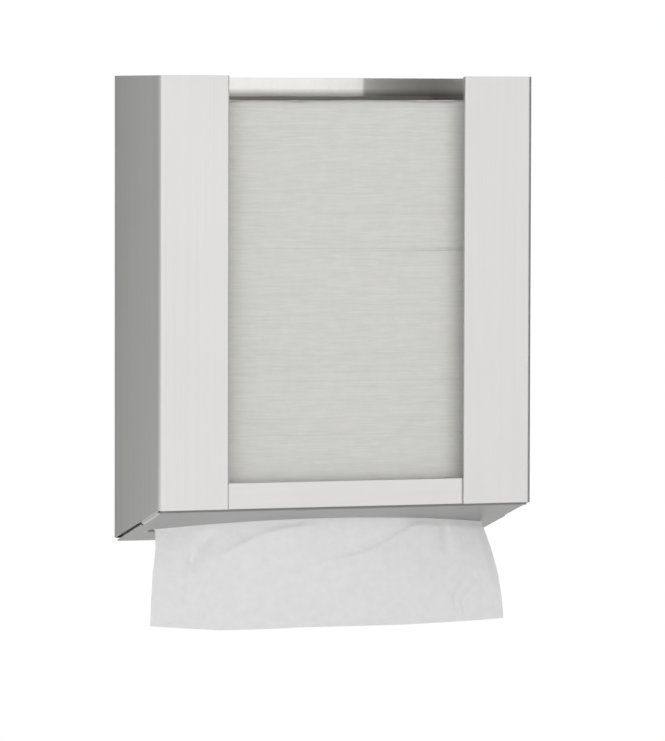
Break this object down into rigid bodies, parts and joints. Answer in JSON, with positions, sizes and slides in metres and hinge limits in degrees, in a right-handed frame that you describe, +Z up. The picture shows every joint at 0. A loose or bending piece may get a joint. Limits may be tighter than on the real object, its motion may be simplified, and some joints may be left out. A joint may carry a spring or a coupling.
{
  "type": "paper towel dispenser",
  "caption": "Wall-hung stainless dispenser for folded paper towels, open at the top and front, with a bowed slot in its sloped bottom and a towel hanging from it.",
  "frame": {"origin": "middle of the four wall-screw holes, on the back plate's wall face", "axes": "+Y into the wall, so the front faces -Y; +Z up; +X to the right as seen from the front"},
  "size_m": [0.276, 0.105, 0.388],
  "materials": {
    "brushed_steel": "satin",
    "bright_steel": "gloss",
    "towel_paper": "matte"
  },
  "bodies": {
    "cabinet": {"back_plate": "bright_steel", "left_side_panel": "brushed_steel", "right_side_panel": "brushed_steel", "front_rail": "brushed_steel", "bottom_pan": "brushed_steel"},
    "lower_bundle": {"lower_towel_bundle": "towel_paper"},
    "middle_bundle": {"middle_towel_bundle": "towel_paper"},
    "upper_bundle": {"upper_towel_bundle": "towel_paper"},
    "pulled_towel": {"hanging_towel": "towel_paper"}
  },
  "joints": [
    {"name": "lift_lower_bundle", "type": "slide", "parent": "cabinet", "child": "lower_bundle", "axis": [0, 0, 1], "range_m": [0, 0.34]},
    {"name": "lift_middle_bundle", "type": "slide", "parent": "lower_bundle", "child": "middle_bundle", "axis": [0, 0, 1], "range_m": [0, 0.28]},
    {"name": "lift_upper_bundle", "type": "slide", "parent": "middle_bundle", "child": "upper_bundle", "axis": [0, 0, 1], "range_m": [0, 0.15]},
    {"name": "pull_towel", "type": "slide", "parent": "cabinet", "child": "pulled_towel", "axis": [0, 0, -1], "range_m": [0, 0.1]}
  ]
}
